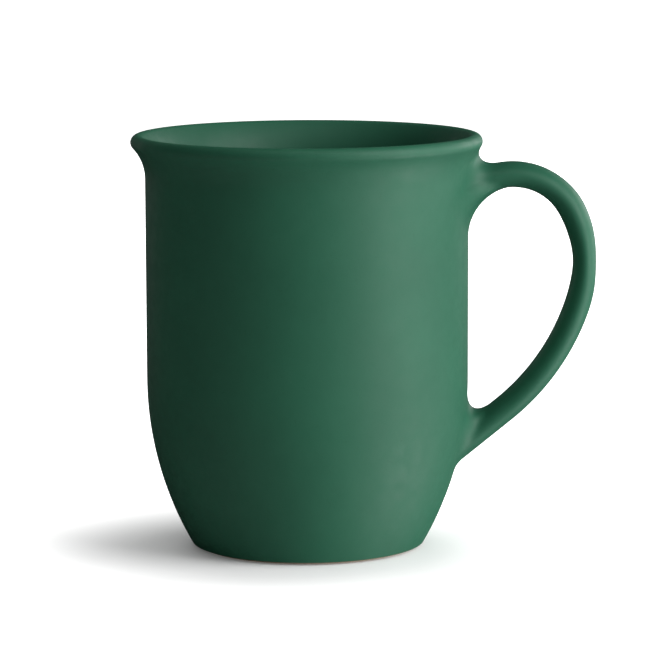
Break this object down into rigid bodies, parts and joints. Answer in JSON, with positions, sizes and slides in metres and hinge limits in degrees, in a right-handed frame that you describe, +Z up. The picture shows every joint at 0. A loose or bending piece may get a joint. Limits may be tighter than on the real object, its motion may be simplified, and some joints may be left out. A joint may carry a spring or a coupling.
{
  "type": "ceramic mug",
  "caption": "Straight-sided ceramic mug with a flared rolled lip, a tapered base on a bare foot ring and a looped side handle.",
  "frame": {"origin": "on the cup's axis, in the plane that the foot ring stands on", "axes": "+Z up along the cup's axis, +X towards the handle, and the XZ plane cuts the handle and the cup into mirrored halves"},
  "size_m": [0.1212, 0.0914, 0.108],
  "materials": {
    "stoneware": "bare fired stoneware, matt",
    "slip": "bare fired slip, matt",
    "green_glaze": "deep green satin glaze"
  },
  "bodies": {
    "root": {"cup_body": "stoneware", "handle": "stoneware", "upper_joint_slip": "slip", "lower_joint_slip": "slip", "outer_glaze": "green_glaze", "liner_glaze": "green_glaze", "underside_glaze": "green_glaze"}
  },
  "joints": []
}
